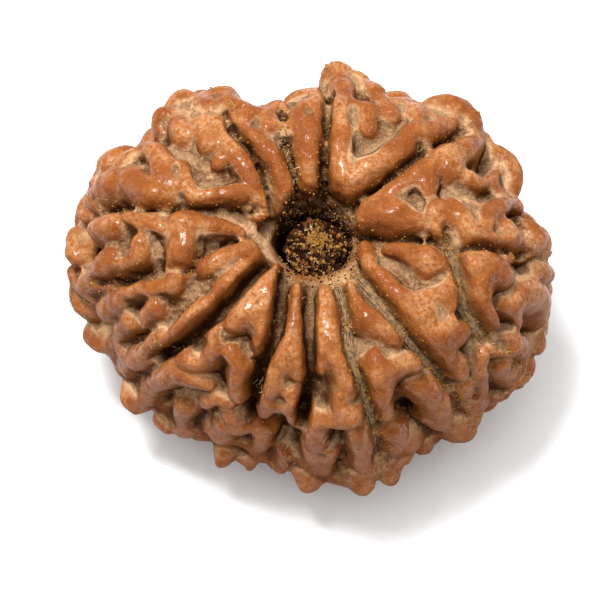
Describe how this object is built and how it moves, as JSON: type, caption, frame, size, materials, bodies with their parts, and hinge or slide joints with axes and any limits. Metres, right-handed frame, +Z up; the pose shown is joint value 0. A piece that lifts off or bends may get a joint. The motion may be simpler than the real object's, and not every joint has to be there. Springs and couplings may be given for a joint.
{
  "type": "rudraksha seed",
  "caption": "Dried woody fruit stone with branching ridges and knobs between radiating clefts, and a natural canal through its middle that still holds dry pith.",
  "frame": {"origin": "bottom centre of the stone's box, on the surface that it lies on", "axes": "+Z up along the canal, +X along the stone's length, +Y away from the viewer of the picture"},
  "size_m": [0.0303, 0.0248, 0.0198],
  "materials": {
    "oiled_stone": "oiled, waxy on the ridges and dusty in the hollows",
    "dry_pith": "dry, crumbly and fibrous"
  },
  "bodies": {
    "root": {"stone": "oiled_stone", "pith": "dry_pith"}
  },
  "joints": []
}
